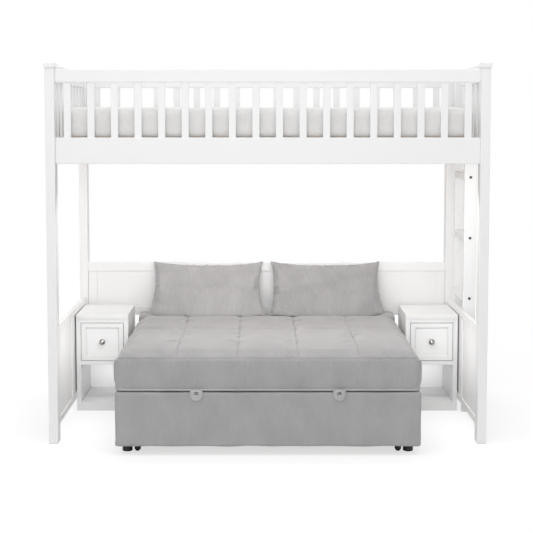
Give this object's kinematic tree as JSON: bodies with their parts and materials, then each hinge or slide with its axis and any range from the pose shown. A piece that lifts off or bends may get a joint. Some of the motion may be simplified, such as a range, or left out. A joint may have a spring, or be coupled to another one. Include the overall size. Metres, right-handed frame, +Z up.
{
  "type": "loft bed",
  "caption": "Loft bed with guard rails and an end ladder over a pull-out sofa bed, with drawer nightstands, mattress and pillows.",
  "frame": {"origin": "on the floor, under the middle of the whole set's outer box", "axes": "+X along the bed towards the ladder end, +Y towards the back, +Z up"},
  "size_m": [2.139, 1.3022, 1.806],
  "materials": {
    "white_paint": "satin white painted wood",
    "bare_wood": "planed pine",
    "deck_board": "plywood",
    "mattress_cloth": "knitted ticking",
    "sofa_fabric": "brushed woven upholstery",
    "pillow_fabric": "brushed woven upholstery",
    "tab_webbing": "padded cloth loop",
    "pewter": "dark pewter",
    "dark_bolt_steel": "blackened bolt",
    "zinc_steel": "zinc plated",
    "black_plastic": "moulded",
    "black_fork": "moulded",
    "wheel_tread": "smooth tread"
  },
  "bodies": {
    "frame": {"back_panel_board": "white_paint", "back_panel_frame": "white_paint", "bed_slats": "bare_wood", "drawer_runners": "bare_wood", "end_guard_rail_left": "white_paint", "end_guard_rail_right": "white_paint", "end_panel_board_left": "white_paint", "end_panel_board_right": "white_paint", "end_panel_frame_left": "white_paint", "end_panel_frame_right": "white_paint", "end_rail_left": "white_paint", "end_rail_right": "white_paint", "end_slats_left": "white_paint", "end_slats_right": "white_paint", "flap_hinge_brackets": "zinc_steel", "frame_bolts": "dark_bolt_steel", "guard_rail_back": "white_paint", "guard_rail_front": "white_paint", "guard_slats_back": "white_paint", "guard_slats_front": "white_paint", "ladder_rungs": "white_paint", "ladder_stringer_back": "white_paint", "ladder_stringer_front": "white_paint", "loft_mattress": "mattress_cloth", "nightstand_left_carcass": "white_paint", "nightstand_left_top": "white_paint", "nightstand_right_carcass": "white_paint", "nightstand_right_top": "white_paint", "pillow_left": "pillow_fabric", "pillow_right": "pillow_fabric", "post_back_left": "white_paint", "post_back_right": "white_paint", "post_caps": "white_paint", "post_front_left": "white_paint", "post_front_right": "white_paint", "pullout_channels": "zinc_steel", "seat_cushion": "sofa_fabric", "side_rail_back": "white_paint", "side_rail_front": "white_paint", "slat_cleats": "bare_wood", "sofa_base": "sofa_fabric", "sofa_deck": "deck_board", "sofa_feet": "black_plastic", "sofa_rear_deck": "sofa_fabric"},
    "drawer_left": {"drawer_left_front": "white_paint", "drawer_left_box": "bare_wood", "drawer_left_knob": "pewter"},
    "drawer_right": {"drawer_right_front": "white_paint", "drawer_right_box": "bare_wood", "drawer_right_knob": "pewter"},
    "backrest": {"back_flap": "sofa_fabric", "flap_hinge_pins": "zinc_steel"},
    "pullout": {"pullout_front": "sofa_fabric", "pullout_carriage": "bare_wood", "pullout_cushion": "sofa_fabric", "pull_tabs": "tab_webbing", "caster_forks": "black_fork"},
    "caster_left": {"caster_wheel_left": "wheel_tread"},
    "caster_right": {"caster_wheel_right": "wheel_tread"}
  },
  "joints": [
    {"name": "left_drawer_slide", "type": "slide", "parent": "frame", "child": "drawer_left", "axis": [0, -1, 0], "range_m": [0, 0.24]},
    {"name": "right_drawer_slide", "type": "slide", "parent": "frame", "child": "drawer_right", "axis": [0, -1, 0], "range_m": [0, 0.24]},
    {"name": "pullout_slide", "type": "slide", "parent": "frame", "child": "pullout", "axis": [0, -1, 0], "range_m": [0, 0.58]},
    {"name": "backrest_hinge", "type": "hinge", "parent": "frame", "child": "backrest", "pos_m": [-0.024, 0.02515, 0.432], "axis": [1, 0, 0], "range_deg": [0, 75]},
    {"name": "left_caster_roll", "type": "hinge", "parent": "pullout", "child": "caster_left", "pos_m": [-0.631, -0.55765, 0.02], "axis": [1, 0, 0], "continuous": true},
    {"name": "right_caster_roll", "type": "hinge", "parent": "pullout", "child": "caster_right", "pos_m": [0.583, -0.55765, 0.02], "axis": [1, 0, 0], "continuous": true}
  ]
}
